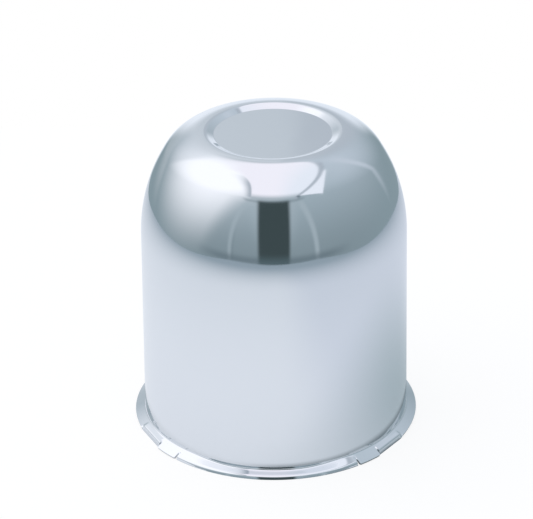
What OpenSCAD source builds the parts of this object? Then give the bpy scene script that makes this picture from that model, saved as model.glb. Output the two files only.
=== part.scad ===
// Hub cover for a wheel: one sheet of steel, deep drawn into a cup with a domed crown and a flat disc
// recessed in its top. It is pushed through the wheel's centre bore from behind, until the rim at its
// open end meets the back of the wheel. The rim is rolled down in front and behind, flat at both
// sides, and has four tabs that were left flat with a straight stretch beside each.
// Millimetres, +Z up along the axis, origin on the axis in the plane that the rim stands on.

/* [Body] */
// Height from the plane it stands on to the crest of the crown
height = 125.5; // [112:0.5:145]
// Diameter of the straight seat that fits the wheel's bore
seat_diameter = 107.8; // [102:0.1:114]
// Height of the straight seat above the rim
seat_height = 12; // [4:1:30]
// How much smaller the wall is in radius where the dome begins
wall_draw_in = 0.7; // [0.2:0.1:2]
// Thickness of the sheet
sheet = 1; // [0.6:0.1:1.3]

/* [Dome] */
// Radius of the large curve over the shoulder
shoulder_radius = 66.8; // [60:0.2:90]
// Radius of the tighter curve that runs up to the crest
crown_radius = 18.6; // [12:0.2:22]
// Diameter of the crest, the highest circle of the crown
crest_diameter = 54.8; // [54:0.2:60]

/* [Recess] */
// Diameter of the flat disc in the recess
disc_diameter = 46.6; // [38:0.2:47.6]
// Depth of the disc below the crest
recess_depth = 1.4; // [0.6:0.1:2]
// Radius of the edge that rolls over from the crest into the recess
crest_edge_radius = 4.2; // [1.8:0.1:5.8]
// Radius in the corner round the disc
disc_corner_radius = 0.8; // [0.3:0.1:2]

/* [Rim] */
// How far the rim reaches out from the seat
rim_width = 4.1; // [3.8:0.1:8]
// Height of the rim's flat top above the plane it stands on
rim_height = 2.3; // [2:0.1:4]
// Radius in the corner between the wall and the rim
foot_radius = 0.8; // [0.4:0.1:1]
// Radius of the rim's rolled edge
edge_radius = 2.2; // [1.6:0.1:3]

/* [Tabs and flats] */
// How far a flat tab reaches out beyond the rim's edge
tab_reach = 2; // [0.5:0.1:5]
// Direction of each tab, in degrees from the nearer of front and back
tab_direction = 45; // [35:1:55]
// Width of each tab, in degrees of the rim
tab_span = 11.4; // [6:0.2:20]
// Width of the straight stretch beside each tab, in degrees of the rim
flat_span = 16; // [8:1:18]
// Distance of a straight stretch inside the rim's edge, at its middle
flat_depth = 0.9; // [0.3:0.1:1.2]
// Width of the slit on each side of a tab
slit_width = 0.7; // [0.4:0.1:1.4]
// How far a slit runs in from the rolled edge's outer face
slit_depth = 1.5; // [1:0.1:2]

/* [Hidden] */
$fn = 180;

seat_radius = seat_diameter / 2;
neck_radius = seat_radius - wall_draw_in;
crest_radius = crest_diameter / 2;
disc_radius = disc_diameter / 2;
rim_radius = seat_radius + rim_width;
tab_radius = rim_radius + tab_reach;
flat_distance = rim_radius - flat_depth;
slit_end_radius = min(rim_radius, flat_distance / cos(flat_span / 2)) - slit_depth + slit_width / 2;

// The rim's plate begins where its corner with the wall ends
plate_inner_radius = seat_radius + foot_radius;

// The rolled edge stays clear of the corner with the wall, and ends upright just above the plane
// that the rim stands on
edge_foot = 0.1;
roll_radius = min(edge_radius, rim_height - edge_foot, flat_distance - plate_inner_radius - edge_foot);
wall_bottom = rim_height + foot_radius;
seat_top = rim_height + seat_height;

// The shoulder curve leaves the wall upright and turns by this angle before the crown curve takes over
shoulder_angle = acos((crest_radius - neck_radius + shoulder_radius) / (shoulder_radius - crown_radius));
crown_centre = [crest_radius, height - crown_radius];
shoulder_centre = crown_centre
    - (shoulder_radius - crown_radius) * [cos(shoulder_angle), sin(shoulder_angle)];
neck_height = shoulder_centre[1];

// The slope between the two small arcs of the recess is their common tangent
edge_centre = [crest_radius, height - crest_edge_radius];
corner_centre = [disc_radius, height - recess_depth + disc_corner_radius];
arcs_apart = edge_centre - corner_centre;
slope_angle = atan2(arcs_apart[1], arcs_apart[0])
    + asin((crest_edge_radius + disc_corner_radius) / norm(arcs_apart));
slope_normal = [-sin(slope_angle), cos(slope_angle)];

// Directions are measured from the front, -Y, towards +X and, mirrored, towards -X
tab_start = tab_direction - tab_span / 2;
flat_start = tab_direction + tab_span / 2;
flat_end = flat_start + flat_span;
flat_middle = (flat_start + flat_end) / 2;

// Overlaps that join the rim's shapes: of the flat sheet with the foot and with the rolled edge, in
// millimetres, and of a rolled edge past the end of its stretch, in degrees, half way across a slit's half
foot_lap = 0.2;
edge_lap = 0.4;
slit_lap = asin(slit_width / 4 / rim_radius);

// A size well past the part, for cutting shapes
reach = 2 * (height + tab_radius);

// Each area below goes down to the foot of the wall, so that they overlap into one

// The area under the wall, moved in from the outer surface by inset
module wall_area(inset) {
    polygon([
        [0, wall_bottom],
        [seat_radius - inset, wall_bottom],
        [seat_radius - inset, seat_top],
        [neck_radius - inset, neck_height],
        [0, neck_height]
    ]);
}

// The area under the large shoulder curve, up to the ray on which the crown curve takes over
module shoulder_area(inset) {
    intersection() {
        translate(shoulder_centre) circle(r = shoulder_radius - inset);
        polygon([
            [shoulder_centre[0], wall_bottom],
            [reach, wall_bottom],
            shoulder_centre + reach * [1, tan(shoulder_angle)],
            shoulder_centre
        ]);
        translate([0, wall_bottom]) square(reach);
    }
}

// The area under the crown curve, as far in as the crest
module crown_area(inset) {
    intersection() {
        translate(crown_centre) circle(r = crown_radius - inset);
        translate([crest_radius, wall_bottom]) square(reach);
    }
}

// The area under the recess: the flat disc, the corner round it, the slope and the edge at the crest
module recess_area(inset) {
    disc_height = height - recess_depth - inset;
    difference() {
        polygon([
            [0, wall_bottom],
            [0, disc_height],
            [disc_radius, disc_height],
            corner_centre - (disc_corner_radius + inset) * slope_normal,
            edge_centre + (crest_edge_radius - inset) * slope_normal,
            edge_centre,
            [crest_radius + crown_radius / 2, wall_bottom]
        ]);
        translate(corner_centre) circle(r = disc_corner_radius + inset);
    }
    translate(edge_centre) circle(r = crest_edge_radius - inset);
}

module cup_area(inset) {
    wall_area(inset);
    shoulder_area(inset);
    crown_area(inset);
    recess_area(inset);
}

// The sheet where it turns from the wall into the rim
module foot_section() {
    intersection() {
        translate([plate_inner_radius, wall_bottom]) difference() {
            circle(r = foot_radius + sheet);
            circle(r = foot_radius);
        }
        translate([0, rim_height - sheet]) square([plate_inner_radius, foot_radius + sheet]);
    }
}

// The flat sheet of the rim in section, from one distance to another
module sheet_section(from, to) {
    translate([from, rim_height - sheet]) square([to - from, sheet]);
}

// The cup with its foot, reaching a little way into the rim's flat sheet
module cup() {
    rotate_extrude() {
        difference() {
            cup_area(0);
            cup_area(sheet);
        }
        foot_section();
        sheet_section(plate_inner_radius, plate_inner_radius + foot_lap);
    }
}

// A slice of the plan from one direction to another, in degrees from the front
module slice(from, to) {
    half = (to - from) / 2;
    rotate((from + to) / 2 - 90) polygon([
        [0, 0],
        reach * [cos(half), -sin(half)],
        reach * [cos(half), sin(half)]
    ]);
}

module mirrored_sides() {
    children();
    mirror([1, 0, 0]) children();
}

module mirrored_ends() {
    children();
    mirror([0, 1, 0]) children();
}

// The plan of everything in the rim that lies flat: a ring cut off straight beside each tab, that
// laps a little way over the rolled edge, with the tabs and the wider flat sheet at both sides
module flat_plan() {
    difference() {
        union() {
            difference() {
                circle(r = rim_radius - roll_radius + edge_lap);
                mirrored_ends() mirrored_sides() intersection() {
                    rotate(flat_middle - 90)
                        translate([flat_distance - roll_radius + edge_lap, -reach / 2]) square(reach);
                    slice(flat_start - slit_lap, flat_end + slit_lap);
                }
            }
            mirrored_ends() mirrored_sides() intersection() {
                circle(r = tab_radius);
                slice(tab_start, flat_start);
            }
            mirrored_sides() intersection() {
                circle(r = rim_radius);
                slice(flat_end, 180 - flat_end);
            }
        }
        circle(r = plate_inner_radius);
    }
}

// The rolled edge in section, its outer face at the given distance, from where it is well inside
// the flat sheet that laps over it
module rolled_section(outer) {
    bend = outer - roll_radius;
    intersection() {
        translate([bend, rim_height - roll_radius]) difference() {
            circle(r = roll_radius);
            circle(r = roll_radius - sheet);
        }
        translate([bend + edge_lap / 2, rim_height - roll_radius]) square(roll_radius);
    }
    translate([outer - sheet, 0]) square([sheet, rim_height - roll_radius]);
}

// The rolled edge of the front, which ends inside the slits beside the tabs
module rolled_front() {
    rotate([0, 0, -tab_start - slit_lap - 90])
        rotate_extrude(angle = 2 * (tab_start + slit_lap)) rolled_section(rim_radius);
}

// The rolled edge of a straight stretch, from inside the slit beside the tab to just under the flat side
module rolled_straight() {
    intersection() {
        rotate([0, 0, flat_middle - 90]) rotate([90, 0, 0])
            linear_extrude(height = 2 * rim_radius, center = true) rolled_section(flat_distance);
        linear_extrude(height = rim_height) slice(flat_start - slit_lap, flat_end + slit_lap);
    }
}

// The slit that parts a tab from the rolled edge next to it, with a round inner end
module slit(direction) {
    rotate([0, 0, direction - 90]) translate([slit_end_radius, 0, 0]) {
        cylinder(d = slit_width, h = rim_height + sheet);
        translate([0, -slit_width / 2, 0]) cube([reach, slit_width, rim_height + sheet]);
    }
}

module rim() {
    difference() {
        union() {
            translate([0, 0, rim_height - sheet]) linear_extrude(height = sheet) flat_plan();
            mirrored_ends() {
                rolled_front();
                mirrored_sides() rolled_straight();
            }
        }
        mirrored_ends() mirrored_sides() for (direction = [tab_start, flat_start]) {
            translate([0, 0, -sheet / 2]) slit(direction);
        }
    }
}

module hub_cover() {
    color("lightsteelblue") union() {
        cup();
        rim();
    }
}

hub_cover();
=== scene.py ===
"""A chrome-plated axle hub cover: the pressed steel cover, its finish, and the small white studio round it."""
import math
from collections import namedtuple

import bmesh
import bpy
import numpy as np
from mathutils import Matrix, Vector


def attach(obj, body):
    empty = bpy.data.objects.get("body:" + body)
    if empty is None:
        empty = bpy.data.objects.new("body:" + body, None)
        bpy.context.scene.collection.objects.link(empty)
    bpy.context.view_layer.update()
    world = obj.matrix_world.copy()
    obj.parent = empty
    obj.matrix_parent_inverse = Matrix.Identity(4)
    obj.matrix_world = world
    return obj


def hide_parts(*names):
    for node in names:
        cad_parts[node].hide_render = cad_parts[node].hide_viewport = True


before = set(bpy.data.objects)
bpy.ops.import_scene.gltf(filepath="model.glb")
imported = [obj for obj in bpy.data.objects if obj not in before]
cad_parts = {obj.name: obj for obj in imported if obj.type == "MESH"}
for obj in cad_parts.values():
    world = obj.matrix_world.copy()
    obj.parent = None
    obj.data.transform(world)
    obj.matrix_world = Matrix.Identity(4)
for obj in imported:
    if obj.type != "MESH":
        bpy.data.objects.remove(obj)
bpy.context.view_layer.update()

MM = 0.001

# Sizes of the cover in millimetres, the same as in the part's source but for the rim: its sheet lies level
# there and droops here, which draws the tabs in
HEIGHT = 125.5
SHEET = 1.0
SEAT_RADIUS = 53.9
SEAT_TOP = 14.3
NECK_RADIUS = 53.2
SHOULDER_RADIUS = 66.8
CROWN_RADIUS = 18.6
CREST_RADIUS = 27.4
CREST_EDGE = 4.2
DISC_RADIUS = 23.3
DISC_CORNER = 0.8
RECESS_DEPTH = 1.4
RIM_RADIUS = 58.0
TAB_RADIUS = 58.6
STRAIGHT_DISTANCE = 57.1
SLIT_WIDTH = 0.7
SLIT_DEPTH = 1.5

# How the rim droops, along the front and back and at the tabs and sides: by how many degrees, the radius of
# its corner with the wall and the height of that corner's centre, the radius of its rolled edge, and by how
# many degrees the skirt below that edge leans outwards
RimShape = namedtuple("RimShape", "droop foot_radius foot_height roll_radius skirt")
LEVEL = RimShape(droop=6, foot_radius=0.9, foot_height=2.7, roll_radius=1.3, skirt=22)
STEEP = RimShape(droop=27, foot_radius=0.8, foot_height=3.8, roll_radius=1.2, skirt=18)

# Over which directions the one runs out into the other, in degrees from the nearer of front and back
LEVEL_END = 14
STEEP_START = 36

# Where the rim changes, in degrees from the front (-Y) towards the right (+X), mirrored left and back
TAB_START = 39.3
TAB_END = 50.7
STRAIGHT_END = 66.7
STRAIGHT_MIDDLE = (TAB_END + STRAIGHT_END) / 2

# The distance of the centre of a slit's round inner end from the axis, and how many degrees a slit's side
# lies from its middle there
SLIT_END = min(RIM_RADIUS, STRAIGHT_DISTANCE / math.cos(math.radians(STRAIGHT_END - STRAIGHT_MIDDLE))) \
    - SLIT_DEPTH + SLIT_WIDTH / 2
SLIT_ANGLE = math.degrees(math.asin(SLIT_WIDTH / 2 / SLIT_END))

# The rounding of the cut edges of the flat sheet and of the rolled edge's foot, and of the tabs' corners, in
# millimetres, and the degrees over which a straight stretch runs out into the flat side
EDGE_ROUND = 0.15
FOOT_ROUND = 0.08
TAB_CORNER = 0.7
RUN_OUT = 1.5

# Where the cup's mesh meets the rim's, how far inside a slit's end the rim's own rows begin, and how far
# from an arc the mesh has a row that keeps the arc's shading off the flat beside it, all in millimetres
INNER_RING = 54.8
SLIT_ROOT = 1
DISC_SUPPORTS = (0.6, 0.1)
SEAT_SUPPORT = 0.3
FOOT_SUPPORT = 0.2
EDGE_SUPPORT = 0.03

# Steps in each curve of the cup's section, of which the inside has only a share, and the fewest there may be
CORNER_STEPS = 6
CREST_STEPS = 9
CROWN_STEPS = 26
SHOULDER_STEPS = 20
WALL_STEPS = 10
FOOT_STEPS = 8
INSIDE_SHARE = 0.55
FEWEST_STEPS = 2

# Steps of the rim's section up to the inner end of a slit, on to the sheet's edge and round that edge, and
# those of the curve that the rolled edge's rows are read from
SLIT_ROWS = 6
EDGE_ROWS = 8
ROUND_ROWS = 3
ROLL_STEPS = 60

# Degrees from one column of the mesh to the next, how many times closer they are where a straight stretch
# runs out, and how many steps there are across a tab's corner and round a slit's end
COLUMN_STEP = 0.85
RUN_OUT_COLUMNS = 4
CORNER_COLUMNS = 6
SLIT_COLUMNS = 8

# From which angle between two faces their edge is sharp, in degrees, and below which distance points become
# one, in metres
SHARP_ANGLE = 35
WELD = 1e-6

# The two finishes, by their place in the cover's list of materials
BRIGHT, DULL = 0, 1


def deg(a):
    return a * math.pi / 180


def flange(r, inset, shape):
    """Height at distance r of the rim's drooping sheet: of its upper face with inset 0 and of its lower
    face with the sheet's thickness. The face is the common tangent of the arcs in the corner at the wall."""
    return shape.foot_height - (shape.foot_radius + inset) / math.cos(deg(shape.droop)) \
        - (r - SEAT_RADIUS - shape.foot_radius) * math.tan(deg(shape.droop))


def smooth_step(x):
    """3 x ^ 2 - 2 x ^ 3, with x held between 0 and 1."""
    x = np.clip(x, 0, 1)
    return x * x * (3 - 2 * x)


def blended(level, steep, columns):
    """Two sections that run along the rim, (rows, 1 or columns, 2), as one: level's at the front and back,
    steep's at the tabs and sides, and a smooth step from the one to the other."""
    from_end = np.abs((columns + 90) % 180 - 90)
    share = smooth_step((from_end - LEVEL_END) / (STEEP_START - LEVEL_END))[None, :, None]
    return level * (1 - share) + steep * share


# ---- The section of the cup ----

def arc(centre, radius, start, end, steps):
    """Points centre + radius * (cos a, sin a), with a running evenly from start to end, in degrees."""
    a = np.radians(np.linspace(start, end, steps + 1))
    return np.stack([centre[0] + radius * np.cos(a), centre[1] + radius * np.sin(a)], -1)


def cup_section(inset, step_share, shape):
    """The cup's half section as (distance from the axis, height), from the middle of the disc, out over
    the crest and shoulder and down the wall to the sheet of the rim. Each arc's radius shrinks by inset
    where it is convex and grows by it where it is hollow, and each straight moves in by inset, so the
    section with inset 0 is the outer face and the one with the sheet's thickness is the inner face."""
    def steps(whole):
        return max(FEWEST_STEPS, round(whole * step_share))

    crown_at = np.array([CREST_RADIUS, HEIGHT - CROWN_RADIUS])
    turn = math.acos((CREST_RADIUS - NECK_RADIUS + SHOULDER_RADIUS) / (SHOULDER_RADIUS - CROWN_RADIUS))
    shoulder_at = crown_at - (SHOULDER_RADIUS - CROWN_RADIUS) * np.array([math.cos(turn), math.sin(turn)])
    lean = math.degrees(math.atan((SEAT_RADIUS - NECK_RADIUS) / (shoulder_at[1] - SEAT_TOP)))
    crest_at = np.array([CREST_RADIUS, HEIGHT - CREST_EDGE])
    corner_at = np.array([DISC_RADIUS, HEIGHT - RECESS_DEPTH + DISC_CORNER])
    apart = crest_at - corner_at
    slope = math.degrees(math.atan2(apart[1], apart[0])
                         + math.asin((CREST_EDGE + DISC_CORNER) / math.hypot(apart[0], apart[1])))
    turn = math.degrees(turn)
    foot_at = [SEAT_RADIUS + shape.foot_radius, shape.foot_height]
    disc_height = HEIGHT - RECESS_DEPTH - inset
    seat_heights = (SEAT_TOP - SEAT_SUPPORT, (SEAT_TOP + foot_at[1]) / 2, foot_at[1] + FOOT_SUPPORT)

    disc = [[r, disc_height] for r in (0, DISC_RADIUS / 2, *(DISC_RADIUS - s for s in DISC_SUPPORTS))]
    corner = arc(corner_at, DISC_CORNER + inset, -90, -90 + slope, steps(CORNER_STEPS))
    crest = arc(crest_at, CREST_EDGE - inset, 90 + slope, 90, steps(CREST_STEPS))
    crown = arc(crown_at, CROWN_RADIUS - inset, 90, turn, steps(CROWN_STEPS))[1:]
    shoulder = arc(shoulder_at, SHOULDER_RADIUS - inset, turn, lean, steps(SHOULDER_STEPS))[1:]
    share = (1 - np.cos(np.linspace(0, math.pi, steps(WALL_STEPS) + 1)[1:, None])) / 2
    wall = shoulder[-1] + share * (np.array([SEAT_RADIUS - inset, SEAT_TOP]) - shoulder[-1])
    seat = [[SEAT_RADIUS - inset, z] for z in seat_heights]
    foot = arc(foot_at, shape.foot_radius + inset, 180, 270 - shape.droop, steps(FOOT_STEPS))
    ring = [[INNER_RING, flange(INNER_RING, inset, shape)]]
    return np.concatenate([disc, corner, crest, crown, shoulder, wall, seat, foot, ring])


# ---- The sections of the rim, each as its upper and lower half from the drooping sheet outwards ----

def rolled_edge(outer, slit_end, shape=STEEP):
    """The sheet that rolls on down to its foot, which is at outer, and with one row at slit_end in both halves:
    a straight, then arcs about one centre, a straight skirt, and the rounded corners of the cut foot. With
    radius R, skirt k and droop d, the arcs' centre at distance a and height z has z = flange(a) - R / cos d,
    and a + R cos k + tan k (z + R sin k - foot) = outer, which is solved for a. The rows are spread evenly
    along that path, and the last of them is the rounding's first, so there are as many as in flat_edge."""
    droop, lean, radius = deg(shape.droop), deg(shape.skirt), shape.roll_radius
    rise = flange(0, 0, shape) - radius / math.cos(droop) + radius * math.sin(lean) - FOOT_ROUND
    at = (outer - radius * math.cos(lean) - math.tan(lean) * rise) / (1 - math.tan(lean) * math.tan(droop))
    bend = [at, flange(at, 0, shape) - radius / math.cos(droop)]
    thick = SHEET / math.cos(lean)
    start = slit_end - SLIT_ROOT
    halves = []
    for inset, side in ((0, 1), (SHEET, -1)):
        foot = outer if side > 0 else outer - thick
        path = np.concatenate([
            [[start, flange(start, inset, shape)]],
            arc(bend, radius - inset, 90 - shape.droop, shape.skirt, ROLL_STEPS),
            [[foot, FOOT_ROUND]]])
        length = np.append(0, np.cumsum(np.hypot(*np.diff(path, axis=0).T)))
        parting = np.interp(slit_end, path[:, 0], length)
        rows = np.append(np.interp(np.linspace(start, slit_end, SLIT_ROWS + 1), path[:, 0], length),
                         np.linspace(parting, length[-1], EDGE_ROWS + 2)[1:])
        along = np.stack([np.interp(rows, length, path[:, axis]) for axis in (0, 1)], -1)
        rounding = arc([foot - side * FOOT_ROUND, FOOT_ROUND], FOOT_ROUND,
                       90 - 90 * side, 90 - 180 * side, ROUND_ROWS)[1:]
        halves.append(np.concatenate([along, rounding, [[outer - thick / 2, 0]]]))
    return halves


def flat_edge(outer, slit_end):
    """The drooping sheet with the upper corner of its edge at outer, the edge square to the sheet, its corners
    rounded, and one row at slit_end in both halves."""
    droop = deg(STEEP.droop)
    corner = np.array([outer, flange(outer, 0, STEEP)])
    along = np.array([math.cos(droop), -math.sin(droop)])
    square = np.array([-math.sin(droop), -math.cos(droop)])
    halves = []
    for inset, side in ((0, 1), (SHEET, -1)):
        end = (corner + square * inset - along * (EDGE_ROUND + EDGE_SUPPORT))[0]
        r = np.append(np.linspace(slit_end - SLIT_ROOT, slit_end, SLIT_ROWS + 1),
                      np.linspace(slit_end, end, EDGE_ROWS + 1)[1:])
        centre = corner - along * EDGE_ROUND + square * (inset + side * EDGE_ROUND)
        rounding = arc(centre, EDGE_ROUND, 90 * side - STEEP.droop, -STEEP.droop, ROUND_ROWS)
        halves.append(np.concatenate([np.stack([r, flange(r, inset, STEEP)], -1), rounding,
                                      [corner + square * SHEET / 2]]))
    return halves


def placed(section, scale, shift):
    """A section (rows, 2) in each column: its distances times scale, and moved by shift along the drooping
    sheet in proportion to how far they lie outside the slits' inner ends."""
    r = section[:, 0, None] * scale
    moved = shift * np.clip((r - SLIT_END) / (r[-1] - SLIT_END), 0, None)
    return np.stack([r + moved, section[:, 1, None] - moved * math.tan(deg(STEEP.droop))], -1)


def front_roll(columns):
    """The rolled edge of the front and the back, level but for its ends."""
    level, steep = ([placed(half, np.ones_like(columns), 0) for half in rolled_edge(RIM_RADIUS, SLIT_END, shape)]
                    for shape in (LEVEL, STEEP))
    return [blended(a, b, columns) for a, b in zip(level, steep)]


def tab(columns):
    """A flat tab: its edge draws in over the last stretch at both ends, as the quarter circle of a corner."""
    from_end = TAB_RADIUS * np.radians(np.minimum(columns - columns[0], columns[-1] - columns))
    from_corner = TAB_CORNER - np.clip(from_end, 0, TAB_CORNER)
    shift = np.sqrt(np.maximum(TAB_CORNER ** 2 - from_corner ** 2, 0)) - TAB_CORNER
    return [placed(half, np.ones_like(columns), shift) for half in flat_edge(TAB_RADIUS, SLIT_END)]


def straight_and_side(columns):
    """From the tab at the front to the one at the back: the rolled edge along a straight line, which at each
    column is its section spread by 1 / cos from the line's middle, then the flat side, then the other
    straight line. Each runs out into the flat as a smooth step from one section to the other."""
    mirrored = np.minimum(columns, 180 - columns)
    spread = 1 / np.cos(np.radians(np.minimum(mirrored, STRAIGHT_END + RUN_OUT) - STRAIGHT_MIDDLE))
    flat = smooth_step((mirrored - STRAIGHT_END) / RUN_OUT + 0.5)[None, :, None]
    slit_end = SLIT_END * math.cos(deg(TAB_END - STRAIGHT_MIDDLE + SLIT_ANGLE))
    return [placed(rolled, spread, 0) * (1 - flat) + placed(level, np.ones_like(columns), 0) * flat
            for rolled, level in zip(rolled_edge(STRAIGHT_DISTANCE, slit_end), flat_edge(RIM_RADIUS, SLIT_END))]


def slit_root(first, last, columns, middle):
    """The sheet inside a slit's round end, between the columns first and last of its neighbours: one section
    runs over into the other, and both stop at the circle of the slit's end."""
    over = ((columns - columns[0]) / (columns[-1] - columns[0]))[None, :, None]
    side = SLIT_END * np.sin(np.radians(columns - middle))
    stop = SLIT_END - np.sqrt(np.maximum((SLIT_WIDTH / 2) ** 2 - side ** 2, 0))
    halves = []
    for a, b in zip(first, last):
        rows = a[:SLIT_ROWS + 1, None] * (1 - over) + b[:SLIT_ROWS + 1, None] * over
        start, end = rows[0, :, 0], rows[-1, :, 0]
        rows[..., 0] = start + (rows[..., 0] - start) * (stop - start) / (end - start)
        halves.append(rows)
    return halves


# ---- The rim's layout ----

def spaced(start, end, step):
    """Directions from start to end, evenly spaced at about step degrees."""
    return np.linspace(start, end, max(2, round(abs(end - start) / step) + 1))


def with_corners(start, end, step, radius, corner):
    """Directions from start to end that crowd towards both ends, over the length of a corner's round."""
    a = math.degrees(corner / radius)
    near = a * (1 - np.cos(np.radians(np.linspace(0, 90, CORNER_COLUMNS + 1))))
    return np.concatenate([start + near[:-1], spaced(start + a, end - a, step), (end - near[:-1])[::-1]])


def rim_stretches(step):
    """The rim counterclockwise from the left end of the front's rolled edge, as (columns, halves, parted):
    parted says that a slit leaves the stretch's ends open. The right side is written once, and carried
    round by half a turn for the left."""
    front = spaced(-TAB_START + SLIT_ANGLE, TAB_START - SLIT_ANGLE, step)
    near_tab = with_corners(TAB_START + SLIT_ANGLE, TAB_END - SLIT_ANGLE, step, TAB_RADIUS, TAB_CORNER)
    run_out = spaced(STRAIGHT_END - RUN_OUT / 2, STRAIGHT_END + RUN_OUT / 2, step / RUN_OUT_COLUMNS)
    half_side = np.concatenate([spaced(TAB_END + SLIT_ANGLE, run_out[0], step)[:-1], run_out,
                                spaced(run_out[-1], 90, step)[1:]])
    side = np.concatenate([half_side, 180 - half_side[-2::-1]])
    far_tab = 180 - near_tab[::-1]
    half = [(front, front_roll(front)), (near_tab, tab(near_tab)), (side, straight_and_side(side)),
            (far_tab, tab(far_tab))]
    round_end = np.radians(np.linspace(-90, 90, SLIT_COLUMNS + 1))
    across = np.degrees(np.arcsin(np.sin(round_end) * math.sin(deg(SLIT_ANGLE))))
    stretches = []
    for turn in (0, 180):
        for (columns, halves), (_, following) in zip(half, half[1:] + half[:1]):
            middle = columns[-1] + SLIT_ANGLE
            stretches.append((columns + turn, halves, True))
            root = slit_root([h[:, -1] for h in halves], [h[:, 0] for h in following], middle + across, middle)
            stretches.append((middle + across + turn, root, False))
    return stretches


# ---- Meshes ----

def turned(section, directions):
    """Carries a section (rows, 2) or (rows, columns, 2) round the axis: a point at distance r and height z
    goes to (r sin a, -r cos a, z) for each direction a, and millimetres become metres."""
    if section.ndim == 2:
        section = np.broadcast_to(section[:, None], (len(section), len(directions), 2))
    a = np.radians(directions)
    r, z = section[..., 0], section[..., 1]
    return np.stack([r * np.sin(a), -r * np.cos(a), z], -1) * MM


class Sheets:
    """Collects grids of points as one mesh. A grid's faces point to the left of its columns' order as
    seen along its rows, or the other way with flip, and they have the material of its mark."""

    def __init__(self):
        self.points, self.faces, self.marks, self.count = [], [], [], 0

    def add(self, grid, mark=BRIGHT, flip=False):
        rows, cols = grid.shape[:2]
        at = np.arange(rows * cols).reshape(rows, cols) + self.count
        quads = np.stack([at[:-1, :-1], at[1:, :-1], at[1:, 1:], at[:-1, 1:]], -1).reshape(-1, 4)
        self.points.append(grid.reshape(-1, 3))
        self.faces.append(quads[:, ::-1] if flip else quads)
        self.marks.append(np.full(len(quads), mark))
        self.count += rows * cols

    def object(self, name, materials):
        """The grids as one object, welded where their borders meet."""
        mesh = bpy.data.meshes.new(name)
        mesh.from_pydata(np.concatenate(self.points), [], np.concatenate(self.faces).tolist())
        for material in materials:
            mesh.materials.append(material)
        mesh.polygons.foreach_set("material_index", np.concatenate(self.marks))
        bm = bmesh.new()
        bm.from_mesh(mesh)
        bmesh.ops.remove_doubles(bm, verts=bm.verts, dist=WELD)
        bmesh.ops.dissolve_degenerate(bm, dist=WELD, edges=bm.edges)
        bm.to_mesh(mesh)
        bm.free()
        mesh.shade_smooth()
        mesh.set_sharp_from_angle(angle=deg(SHARP_ANGLE))
        made = bpy.data.objects.new(name, mesh)
        bpy.context.scene.collection.objects.link(made)
        return made


def ring_row(inset, columns):
    """The row of points in which the rim's mesh meets the cup's."""
    level, steep = (np.array([[[INNER_RING, flange(INNER_RING, inset, shape)]]]) for shape in (LEVEL, STEEP))
    return blended(level, steep, columns)


def pressed_cover(materials, step):
    """The cover in one closed skin: the outer and inner face of the cup as one section carried round the
    axis, and the rim stretch by stretch, each with the end walls that a slit leaves open."""
    stretches = rim_stretches(step)
    round_all = np.concatenate([columns[:-1] for columns, _, _ in stretches] + [stretches[0][0][:1] + 360])
    sheets = Sheets()
    for inset, step_share, mark, flip in ((0, 1, BRIGHT, False), (SHEET, INSIDE_SHARE, DULL, True)):
        level, steep = (cup_section(inset, step_share, shape)[:, None] for shape in (LEVEL, STEEP))
        sheets.add(turned(blended(level, steep, round_all), round_all), mark, flip)
    for columns, halves, parted in stretches:
        upper, lower = (turned(np.concatenate([ring_row(inset, columns), half]), columns)
                        for half, inset in zip(halves, (0, SHEET)))
        sheets.add(upper)
        sheets.add(lower, DULL, flip=True)
        if parted:
            for column, flip in ((0, True), (-1, False)):
                sheets.add(np.stack([upper[SLIT_ROWS + 1:, column], lower[SLIT_ROWS + 1:, column]], 1), flip=flip)
        else:
            sheets.add(np.stack([upper[-1], lower[-1]]))
    return sheets.object("pressed_cover", materials)


# ---- Formulas as shader nodes ----

class Wires:
    """Builds formulas as shader nodes: each function returns the socket that holds its result."""

    def __init__(self, tree):
        self.tree = tree

    def node(self, kind, inputs=(), **settings):
        made = self.tree.nodes.new(kind)
        for name, value in settings.items():
            setattr(made, name, value)
        for name, value in dict(inputs).items():
            self.plug(made.inputs[name], value)
        return made

    def plug(self, socket, value):
        if isinstance(value, Term):
            self.tree.links.new(value.socket, socket)
        elif isinstance(value, bpy.types.NodeSocket):
            self.tree.links.new(value, socket)
        elif isinstance(value, tuple) and len(value) == 3 and socket.type == "RGBA":
            socket.default_value = (*value, 1)
        else:
            socket.default_value = value

    def math(self, operation, *values):
        node = self.node("ShaderNodeMath", operation=operation)
        for socket, value in zip(node.inputs, values):
            self.plug(socket, value)
        return Term(self, node.outputs[0])

    def sqrt(self, x):
        return self.math("SQRT", x)

    def arccos(self, x):
        return self.math("ARCCOSINE", x)

    def maximum(self, a, b):
        return self.math("MAXIMUM", a, b)

    def smooth(self, x, zero, one):
        """0 at zero and 1 at one, either of which may be the lower, with a smooth step between."""
        node = self.node("ShaderNodeMapRange", {"Value": x, "From Min": zero, "From Max": one},
                         interpolation_type="SMOOTHSTEP")
        return Term(self, node.outputs["Result"])

    def mix(self, a, b, share):
        """Colour a where share is 0 and colour b where it is 1."""
        node = self.node("ShaderNodeMix", data_type="RGBA")
        for socket, value in zip([i for i in node.inputs if i.type == "RGBA"], (a, b)):
            self.plug(socket, value)
        self.plug(node.inputs[0], share)
        return Term(self, [o for o in node.outputs if o.type == "RGBA"][0])

    def for_camera(self, shown, lighting):
        """The shader shown to the camera, and the shader lighting for everything else."""
        seen = self.node("ShaderNodeLightPath").outputs["Is Camera Ray"]
        return self.node("ShaderNodeMixShader", {0: seen, 1: lighting.outputs[0], 2: shown.outputs[0]}).outputs[0]


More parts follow.
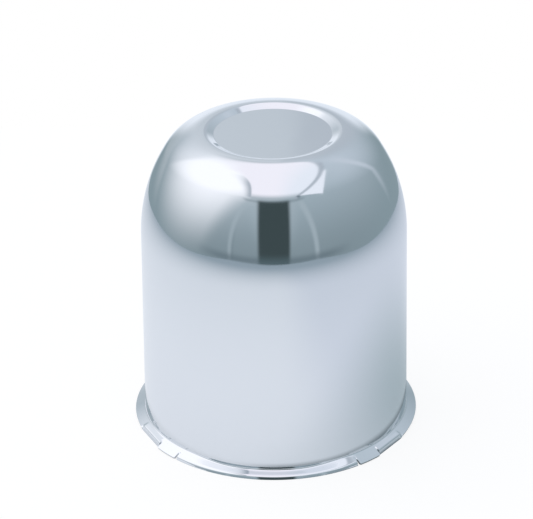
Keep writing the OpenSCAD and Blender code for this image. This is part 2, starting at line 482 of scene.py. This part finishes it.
class Term:
    """A socket that can be added, subtracted, multiplied and divided in a formula."""

    def __init__(self, wires, socket):
        self.wires, self.socket = wires, socket

    def __add__(self, other):
        return self.wires.math("ADD", self, other)

    def __radd__(self, other):
        return self.wires.math("ADD", other, self)

    def __sub__(self, other):
        return self.wires.math("SUBTRACT", self, other)

    def __rsub__(self, other):
        return self.wires.math("SUBTRACT", other, self)

    def __mul__(self, other):
        return self.wires.math("MULTIPLY", self, other)

    def __truediv__(self, other):
        return self.wires.math("DIVIDE", self, other)


# ---- Finishes ----

# The chrome: its tone, its least roughness and what the haze and the hair lines add to it, and its relief,
# as the depth of one unit in metres and the units that the sheet's waves and the hair lines have
CHROME_TONE = (0.82, 0.84, 0.865)
CHROME_ROUGHNESS = 0.035
HAZE_ROUGHNESS = 0.03
HAIR_ROUGHNESS = 0.02
CHROME_RELIEF = 0.00001
WAVE_HEIGHT = 1.4
HAIR_HEIGHT = 0.02

# The inside: its darker and its paler tone, its least roughness and what the mottle and the press's marks
# add to it, and its relief likewise, where the marks have one unit
INSIDE_DARK = (0.47, 0.47, 0.465)
INSIDE_PALE = (0.63, 0.64, 0.65)
INSIDE_ROUGHNESS = 0.26
MOTTLE_ROUGHNESS = 0.14
MARK_ROUGHNESS = 0.12
INSIDE_RELIEF = 0.00003
MOTTLE_HEIGHT = 0.8

Surface = namedtuple("Surface", "tone roughness height relief")


def metal(surface):
    """A metal named after the function surface(k, place), which works out how it looks at each place in the
    object's coordinates: its tone, its roughness, and its height in units of relief, which is in metres."""
    material = bpy.data.materials.new(surface.__name__)
    material.use_nodes = True
    k = Wires(material.node_tree)
    look = surface(k, k.node("ShaderNodeTexCoord").outputs["Object"])
    bump = k.node("ShaderNodeBump", {"Strength": 1.0, "Distance": look.relief, "Height": look.height})
    shader = material.node_tree.nodes["Principled BSDF"]
    for name, value in (("Base Color", look.tone), ("Metallic", 1), ("Roughness", look.roughness),
                        ("Normal", bump.outputs[0])):
        k.plug(shader.inputs[name], value)
    return material


def noise(k, place, stretch, size, detail, crispness=0.5):
    """Noise between 0 and 1 whose blotches are about size metres wide, times the stretch along each axis.
    Each of detail further layers is half as wide, and crispness times as strong, as the one before."""
    scaled = k.node("ShaderNodeMapping", {"Vector": place, "Scale": tuple(1 / (size * s) for s in stretch)})
    return Term(k, k.node("ShaderNodeTexNoise", {
        "Vector": scaled.outputs[0], "Scale": 1.0, "Detail": detail, "Roughness": crispness}).outputs["Fac"])


def bright_chrome(k, place):
    """Buffed chrome plate: a mirror with a faint haze that comes and goes over a couple of centimetres, hair
    lines left by the buffing wheel round the body, and the slight waviness of a drawn sheet."""
    haze = k.smooth(noise(k, place, stretch=(1, 1, 1), size=0.022, detail=2), zero=0.35, one=0.75)
    hairs = noise(k, place, stretch=(30, 30, 1), size=0.0005, detail=2)
    waves = noise(k, place, stretch=(1, 1, 1.6), size=0.011, detail=0)
    return Surface(tone=CHROME_TONE,
                   roughness=CHROME_ROUGHNESS + haze * HAZE_ROUGHNESS + hairs * HAIR_ROUGHNESS,
                   height=waves * WAVE_HEIGHT + hairs * HAIR_HEIGHT, relief=CHROME_RELIEF)


def drawn_inside(k, place):
    """The inside, where little chrome settles: duller plate over the marks that the press drew up the wall,
    with a soft mottle."""
    mottle = noise(k, place, stretch=(1, 1, 1), size=0.009, detail=4)
    marks = noise(k, place, stretch=(1, 1, 60), size=0.0007, detail=3, crispness=0.6)
    return Surface(tone=k.mix(INSIDE_DARK, INSIDE_PALE, k.smooth(mottle, zero=0.3, one=0.7)),
                   roughness=INSIDE_ROUGHNESS + mottle * MOTTLE_ROUGHNESS + marks * MARK_ROUGHNESS,
                   height=marks + mottle * MOTTLE_HEIGHT, relief=INSIDE_RELIEF)


cover = pressed_cover([metal(bright_chrome), metal(drawn_inside)], COLUMN_STEP)
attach(cover, "root")
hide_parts("hub_cover")

# ---- Camera ----

# The camera stands in front, a little to the right. Its distance from the axis, its height, the point that
# it looks at, as (right of the axis, height), and from where to where it sees are in metres, its turns in
# degrees, and its lens and sensor in millimetres
VIEW_DIRECTION = 4.75
CAMERA_DISTANCE = 0.939
CAMERA_HEIGHT = 0.5549
CAMERA_AIM = (-0.00313, 0.06821)
CAMERA_REACH = (0.01, 20)
CAMERA_ROLL = -0.723
CAMERA_LENS = 177.3
CAMERA_SENSOR = 36


def placed_camera():
    """A camera at its distance and height in the view's direction, its right axis turned by the roll."""
    camera = bpy.data.objects.new("camera", bpy.data.cameras.new("camera"))
    bpy.context.scene.collection.objects.link(camera)
    turn = Matrix.Rotation(deg(VIEW_DIRECTION), 3, "Z")
    place = turn @ Vector((0, -CAMERA_DISTANCE, CAMERA_HEIGHT))
    forward = (turn @ Vector((CAMERA_AIM[0], 0, CAMERA_AIM[1])) - place).normalized()
    level = forward.cross(Vector((0, 0, 1))).normalized()
    right = math.cos(deg(CAMERA_ROLL)) * level + math.sin(deg(CAMERA_ROLL)) * level.cross(forward)
    axes = Matrix((right, right.cross(forward), -forward)).transposed()
    camera.matrix_world = Matrix.Translation(place) @ axes.to_4x4()
    camera.data.lens = CAMERA_LENS
    camera.data.sensor_width = CAMERA_SENSOR
    camera.data.clip_start, camera.data.clip_end = CAMERA_REACH
    return camera


# ---- Studio ----

# Tones of the studio, as light in red, green and blue. The plain fabric: low and high on the wall, behind
# the cover and in front of it; then the lit side, the roof strip and its front edge, the white sweep and the
# strip down the rear wall, the folded flap, the seams, the roof strip's dim left border, the soft band on
# the right, the pale stripes, the dark borders, and the camera's gap, high up and at its foot
LOW_REAR = (0.272, 0.351, 0.388)
LOW_FRONT = (0.250, 0.319, 0.354)
HIGH_REAR = (0.588, 0.665, 0.747)
HIGH_FRONT = (0.421, 0.510, 0.570)
LIT_WHITE = (1.177, 1.184, 1.238)
ROOF_WHITE = (1.045, 1.020, 1.101)
ROOF_EDGE = (0.369, 0.455, 0.501)
REAR_WHITE = (0.896, 0.956, 1.042)
REAR_STRIP = (0.588, 0.647, 0.708)
FLAP_WHITE = (0.931, 0.974, 1.061)
SEAM_GREY = (0.457, 0.510, 0.580)
LEAF_GREY = (0.400, 0.455, 0.520)
BAND_GREY = (0.615, 0.683, 0.766)
STRIPE_GREY = (0.439, 0.519, 0.570)
BORDER_DARK = (0.149, 0.200, 0.231)
GAP_DARK = (0.054, 0.077, 0.082)
GAP_FLOOR = (0.088, 0.132, 0.147)

# Points on the sky's round map, in degrees as (u, v): its own middle, those of the soft band's bend, of the lit
# side and of its dimmer part, the knot in the seam, and the middles of the circles that the right and the
# left screen's stripes are parts of
STRAIGHT_ABOVE = (0, 0)
BAND_MIDDLE = (42, -62)
LIT_MIDDLE = (-30, -3)
DIM_MIDDLE = (-35, -65.3)
KNOT = (24.6, 46.4)
RIGHT_STRIPE_MIDDLE = (-7.7, 119.8)
LEFT_STRIPE_MIDDLE = (-14.8, 99.2)

# How much darker the rear strip's right half is and how much of the lit side's light spills behind, as
# shares; how soft the roof strip's left side is in front, and how much softer behind, in degrees; how
# steeply the flap's right side and hem slant; and from where and how fast the camera's gap widens downwards
STRIP_SHADE = 0.6
SPILL_SHARE = 0.17
ROOF_SOFT = 1.2
ROOF_SOFTER = 6.0
FLAP_SLANT = 0.42
HEM_SLANT = 0.48
GAP_TOP = 54
GAP_WIDENING = 0.135

# Keeps the map of the sky from dividing by zero straight above
NEXT_TO_NOTHING = 1e-9


class Sky:
    """The light that comes from each direction (x, y, z), with x to the right of the view and y away from
    the camera. Every shape is drawn on the sky seen as a round map: u runs to the right, v towards the
    camera, both in degrees from straight above, so a circle round the middle is a level line. A shape's
    mask is a product of smooth steps across its sides, and the shapes are laid over one another in turn."""

    def __init__(self, k, x, y, z):
        self.k, self.tone = k, None
        self.down = k.arccos(z) * (180 / math.pi)
        far = self.down / k.sqrt(x * x + y * y + NEXT_TO_NOTHING)
        self.u = x * far
        self.v = y * far * -1.0
        self.aside = k.sqrt(self.u * self.u)
        self.ahead = self.past(self.v, at=30, soft=12)

    def lay(self, tone, mask, share=1):
        """Lays a shape over what is there, at most with its share."""
        self.tone = self.k.mix(self.tone, tone, mask if share == 1 else mask * share)

    def past(self, value, at, soft):
        """0 before a side and 1 past it. The side fades over soft to either hand."""
        return self.k.smooth(value, at - soft, at + soft)

    def before(self, value, at, soft):
        """1 before a side and 0 past it."""
        return 1 - self.past(value, at, soft)

    def between(self, value, low, high, soft):
        """1 between two sides and 0 outside them."""
        return self.past(value, low, soft) * self.before(value, high, soft)

    def without(self, mask, share=1):
        """1 outside a mask, and less by its share inside it."""
        return 1 - (mask if share == 1 else mask * share)

    def away_from(self, point, wide=1.0):
        """The distance from a point, where those to the right and left count wide times."""
        du, dv = (self.u - point[0]) * wide, self.v - point[1]
        return self.k.sqrt(du * du + dv * dv)

    def line(self, middle, radius, width, soft):
        """A line of the given width along a circle."""
        return self.between(self.away_from(middle), radius - width / 2, radius + width / 2, soft)

    def slanted(self, at, slope):
        """The u of a straight side that runs through (at, 0), and goes to the left by slope times v."""
        return at - self.v * slope

    def bowed(self, at, middle, bend):
        """The u of a side that bends to the left from (at, middle), by bend times the square of v's distance
        from there."""
        return at - (self.v - middle) * (self.v - middle) * bend


def plain_fabric(sky):
    """The fabric all round, paler with height and a little darker in front."""
    k = sky.k
    front = k.smooth(sky.v, zero=-60, one=60)
    low, high = k.mix(LOW_REAR, LOW_FRONT, front), k.mix(HIGH_REAR, HIGH_FRONT, front)
    sky.tone = k.mix(low, high, k.smooth(sky.down, zero=100, one=38))


def rear_wall(sky):
    """The soft band on the right, that bends round to the rear, and the strip down the rear wall, darker in
    its right half, which grows white where it sweeps out into the table."""
    k, u, v = sky.k, sky.u, sky.v
    band = sky.between(sky.away_from(BAND_MIDDLE, wide=0.9), low=29.5, high=35.5, soft=3) \
        * sky.past(u, at=18, soft=8) * sky.past(v, at=-50, soft=10)
    sky.lay(BAND_GREY, band * sky.without(k.smooth(u, zero=45, one=75), share=0.5))
    strip = sky.without(k.smooth(sky.aside, zero=6, one=34)) * sky.before(v, at=-48, soft=14)
    sky.lay(k.mix(REAR_STRIP, SEAM_GREY, sky.past(u, at=0.65, soft=0.3) * STRIP_SHADE), strip, share=0.95)
    sweep = sky.without(k.smooth(sky.aside, zero=14, one=36)) * sky.without(k.smooth(v, zero=-82, one=-67))
    sky.lay(REAR_WHITE, sweep, share=0.9)


def lit_side(sky):
    """The lit fabric on the left: it ends low down in front, has a dimmer round part behind, and spills a
    little light on the rear wall."""
    k, u, v = sky.k, sky.u, sky.v
    low_ahead = k.smooth(sky.down, zero=49, one=60) * sky.past(v, at=46, soft=10)
    dimmer = sky.before(sky.away_from(DIM_MIDDLE), at=28.5, soft=4)
    lit = sky.without(k.smooth(sky.away_from(LIT_MIDDLE), zero=25, one=78)) \
        * sky.without(low_ahead, share=0.85) * sky.without(dimmer, share=0.36)
    spill = sky.before(u, at=-8, soft=8) * sky.before(v, at=-62, soft=10) \
        * sky.without(k.smooth(sky.down, zero=92, one=104)) * SPILL_SHARE
    sky.lay(LIT_WHITE, k.maximum(lit, spill) * sky.before(u, at=0, soft=12))


def roof_and_flap(sky):
    """The roof strip between its two bent sides, its front edge rolled down towards the gap, with a dim
    border along its left. Beside it is the flap, white down to its slanting hem, and between them the dark
    seam, with a knot at its front end."""
    k, u, v, down = sky.k, sky.u, sky.v, sky.down
    from_left = u - k.maximum(sky.bowed(at=-15.5, middle=3, bend=0.0035), sky.slanted(at=-24.1, slope=0.33))
    from_right = u - sky.bowed(at=28.3, middle=16, bend=0.0062)

    leaf = k.smooth(from_left, zero=-12.0, one=0.5)
    sky.lay(LEAF_GREY, leaf * leaf * sky.before(from_left, at=0.3, soft=0.8) * sky.past(v, at=2, soft=17)
            * sky.before(down, at=53, soft=3))

    white = k.mix(ROOF_WHITE, FLAP_WHITE, k.smooth(u, zero=0, one=20))
    soft = ROOF_SOFT + sky.without(k.smooth(v, zero=-26, one=-4)) * ROOF_SOFTER
    roof = k.smooth(from_left, soft * -1.0, soft) * sky.before(from_right, at=0, soft=1.5) \
        * k.smooth(v, zero=-63, one=-47)
    sky.lay(k.mix(white, ROOF_EDGE, k.smooth(down, zero=41, one=57)), roof * sky.before(down, at=54.5, soft=2))

    flap = sky.past(from_right, at=1.5, soft=1.5) * sky.before(u - v * FLAP_SLANT, at=33.2, soft=0.9) \
        * sky.before(v + u * HEM_SLANT, at=57.0, soft=1.3)
    sky.lay(FLAP_WHITE, flap * sky.past(v, at=-14, soft=5))
    seam = sky.between(from_right, low=-0.5, high=2.6, soft=1.2) * sky.past(v, at=-36, soft=8) \
        * sky.before(down, at=55, soft=1.5)
    sky.lay(SEAM_GREY, seam, share=0.85)
    sky.lay(BORDER_DARK, sky.without(k.smooth(sky.away_from(KNOT), zero=0.6, one=3.2)), share=0.85)


def front_screens(sky):
    """The two screens in front: paler beside the gap, with a pale stripe and a dark bottom border each, and
    a thin dark line below the left one's stripe."""
    k, u, v = sky.k, sky.u, sky.v
    screens = sky.past(sky.down, at=55, soft=1.5) * sky.ahead
    sky.lay(STRIPE_GREY, screens * sky.without(k.smooth(sky.aside, zero=15, one=32))
            * sky.without(k.smooth(sky.down, zero=56, one=94)), share=0.6)
    sky.lay(STRIPE_GREY, screens * sky.line(RIGHT_STRIPE_MIDDLE, radius=77.1, width=5.5, soft=2.2)
            * sky.past(u, at=26, soft=3), share=0.75)
    sky.lay(STRIPE_GREY, screens * sky.line(LEFT_STRIPE_MIDDLE, radius=49.5, width=4.4, soft=2.0)
            * sky.before(u, at=-22, soft=3), share=0.55)
    sky.lay(BORDER_DARK, screens * sky.line(LEFT_STRIPE_MIDDLE, radius=45.2, width=1.8, soft=1.6)
            * k.smooth(v, zero=58, one=80) * sky.before(u, at=-10, soft=5), share=0.45)
    sky.lay(BORDER_DARK, sky.line(STRAIGHT_ABOVE, radius=96, width=4, soft=3)
            * sky.past(v, at=52, soft=22), share=0.9)


def camera_gap(sky):
    """The thin shadow under the roof strip's front edge, and below it the gap that the camera looks in
    through, which widens downwards and is less dark at its foot."""
    shadow = sky.line(STRAIGHT_ABOVE, radius=55.5, width=1.2, soft=1.2) * sky.before(sky.aside, at=30, soft=3)
    sky.lay(BORDER_DARK, shadow * sky.ahead, share=0.6)
    gap = sky.before(sky.aside - (sky.down - GAP_TOP) * GAP_WIDENING, at=15.7, soft=2.8) \
        * sky.past(sky.down, at=54.8, soft=1.7) * sky.ahead
    sky.lay(sky.k.mix(GAP_DARK, GAP_FLOOR, sky.k.smooth(sky.down, zero=90, one=97)), gap)


def studio_world():
    """The world: the studio's light for everything but the camera, which sees plain white."""
    world = bpy.data.worlds.new("studio")
    world.use_nodes = True
    world.node_tree.nodes.clear()
    k = Wires(world.node_tree)
    direction = k.node("ShaderNodeTexCoord").outputs["Generated"]
    turned_back = k.node("ShaderNodeVectorRotate", {"Vector": direction, "Angle": -deg(VIEW_DIRECTION)},
                         rotation_type="Z_AXIS").outputs["Vector"]
    unit = k.node("ShaderNodeVectorMath", {"Vector": turned_back}, operation="NORMALIZE").outputs["Vector"]
    parts = k.node("ShaderNodeSeparateXYZ", {"Vector": unit})
    sky = Sky(k, *(Term(k, parts.outputs[axis]) for axis in "XYZ"))
    for lay_over in (plain_fabric, rear_wall, lit_side, roof_and_flap, front_screens, camera_gap):
        lay_over(sky)
    light = k.node("ShaderNodeBackground", {"Color": sky.tone})
    plain = k.node("ShaderNodeBackground", {"Color": (1.0, 1.0, 1.0)})
    k.node("ShaderNodeOutputWorld", {"Surface": k.for_camera(plain, light)})
    bpy.context.scene.world = world


# ---- Table ----

# The table's middle and half sizes in metres, to the right of the view and away from the camera, how square
# its outline is, the rings of its mesh as shares of that outline, and the degrees between its columns
TABLE_MIDDLE = -0.21
TABLE_HALF = (0.50, 0.49)
TABLE_SQUARENESS = 4
TABLE_RINGS = (0.02, 0.5, 1)
TABLE_COLUMN = 3

# Its tones, which paint light and shade into the table's colour: near the cover, painted lit on the left side and
# painted shaded on the other, a painted soft shadow beside the cover, a painted contact shadow right under the
# rim, and painted shade out at the table's edge
TABLE_LIT = (0.905, 0.935, 0.975)
TABLE_SHADED = (0.79, 0.83, 0.90)
TABLE_SHADOW_TONE = (0.51, 0.59, 0.62)
TABLE_CONTACT_SHADOW = (0.15, 0.19, 0.21)
TABLE_EDGE_SHADE = (0.345, 0.420, 0.470)

# Where these are, in metres: the middle of the painted soft shadow and how far it reaches, and the steps from the
# painted lit side to the painted shaded one, from the cover out to the painted shade at the edge, and from the
# rim's foot outwards, where the painted contact shadow ends. Under the rim, the painted contact shadow's share
# takes a step from left to right too, and has a least value and a growth
SHADOW_MIDDLE = (0.075, 0.005)
SHADOW_REACH = 0.125
SHADED_STEP = (0, 0.12)
EDGE_SHADE_STEP = (0.10, 0.58)
CONTACT_SHADOW_STEP = (0.058, 0.063)
CONTACT_SHADOW_SIDE = (-0.022, 0.004)
CONTACT_SHADOW_LEAST = 0.15
CONTACT_SHADOW_GROWTH = 0.7

# How much of its tone, with its painted light and shade, the cover sees as cloth that the studio lights, and how
# much as the cloth's glow, which carries that painted shade into the cover's reflections, and what the camera
# sees: grey cloth, which takes the cover's shadow, and a glow that brings it up to white
CLOTH_SHARE = 0.5
GLOW_SHARE = 0.52
SHOWN_CLOTH = (0.2, 0.2, 0.2)
SHOWN_GLOW = (0.84, 0.84, 0.84)


def table_mesh():
    """A sheet whose outline is a rounded square, the distance from its middle to the outline being
    1 / ((|cos a| / w) ^ n + (|sin a| / d) ^ n) ^ (1 / n) in direction a, with n its squareness."""
    a = np.radians(np.arange(0, 360, TABLE_COLUMN))
    wide, deep = (np.abs(part) / half for part, half in zip((np.cos(a), np.sin(a)), TABLE_HALF))
    out = (wide ** TABLE_SQUARENESS + deep ** TABLE_SQUARENESS) ** (-1 / TABLE_SQUARENESS)
    rings = [(s * out * np.cos(a), TABLE_MIDDLE + s * out * np.sin(a), 0 * a) for s in TABLE_RINGS]
    points = np.stack(rings).transpose(0, 2, 1)
    at = np.arange(points.shape[0] * len(a)).reshape(-1, len(a))
    inner, outer = at[:-1], at[1:]
    faces = np.stack([inner, outer, np.roll(outer, -1, 1), np.roll(inner, -1, 1)], -1).reshape(-1, 4)
    mesh = bpy.data.meshes.new("white_table")
    mesh.from_pydata(points.reshape(-1, 3), [], faces.tolist() + [at[0].tolist()])
    return mesh


def table_cloth():
    """The camera sees the table white with the cover's shadow. Everything else sees light and shade painted into
    its colour: lit on the left and shaded on the right, fading towards its edges in painted shade, as the
    studio's dimmer corners would shade it, with a painted soft shadow beside the cover and a painted dark contact
    shadow round its rim, which is strong on the right."""
    material = bpy.data.materials.new("white_table")
    material.use_nodes = True
    material.node_tree.nodes.clear()
    k = Wires(material.node_tree)
    place = k.node("ShaderNodeSeparateXYZ", {"Vector": k.node("ShaderNodeTexCoord").outputs["Object"]})
    x, y = (Term(k, place.outputs[axis]) for axis in "XY")
    away = k.sqrt(x * x + y * y)
    shadow_x, shadow_y = x - SHADOW_MIDDLE[0], y - SHADOW_MIDDLE[1]
    from_shadow = k.sqrt(shadow_x * shadow_x + shadow_y * shadow_y)
    # Painted light and shade: lit on the left, shaded on the right, and a painted soft shadow beside the cover
    near = k.mix(TABLE_SHADOW_TONE, k.mix(TABLE_LIT, TABLE_SHADED, k.smooth(x, *SHADED_STEP)),
                 k.smooth(from_shadow, zero=0, one=SHADOW_REACH))
    # Painted shade that darkens the table towards its edges
    tone = k.mix(near, TABLE_EDGE_SHADE, k.smooth(away, *EDGE_SHADE_STEP))
    # Painted contact shadow round the rim's foot, stronger on the right
    contact_shadow = (1 - k.smooth(away, *CONTACT_SHADOW_STEP)) * (k.smooth(x, *CONTACT_SHADOW_SIDE) * CONTACT_SHADOW_GROWTH + CONTACT_SHADOW_LEAST)
    tone = k.mix(tone, TABLE_CONTACT_SHADOW, contact_shadow)

    def cloth_and_glow(cloth, glow, strength):
        return k.node("ShaderNodeAddShader", {
            0: k.node("ShaderNodeBsdfDiffuse", {"Color": cloth}).outputs[0],
            1: k.node("ShaderNodeEmission", {"Color": glow, "Strength": strength}).outputs[0]})

    shown = cloth_and_glow(SHOWN_CLOTH, SHOWN_GLOW, 1)
    # Cloth and glow both carry the painted light and shade of the table's tone
    lighting = cloth_and_glow(k.mix((0, 0, 0), tone, CLOTH_SHARE), tone, GLOW_SHARE)
    k.node("ShaderNodeOutputMaterial", {"Surface": k.for_camera(shown, lighting)})
    return material


def white_table():
    """The table that the cover stands on, turned to face the camera."""
    table = bpy.data.objects.new("white_table", table_mesh())
    table.rotation_euler.z = deg(VIEW_DIRECTION)
    table.data.materials.append(table_cloth())
    bpy.context.scene.collection.objects.link(table)


white_table()
studio_world()

bpy.context.scene.camera = placed_camera()
bpy.context.scene.view_settings.view_transform = "Standard"
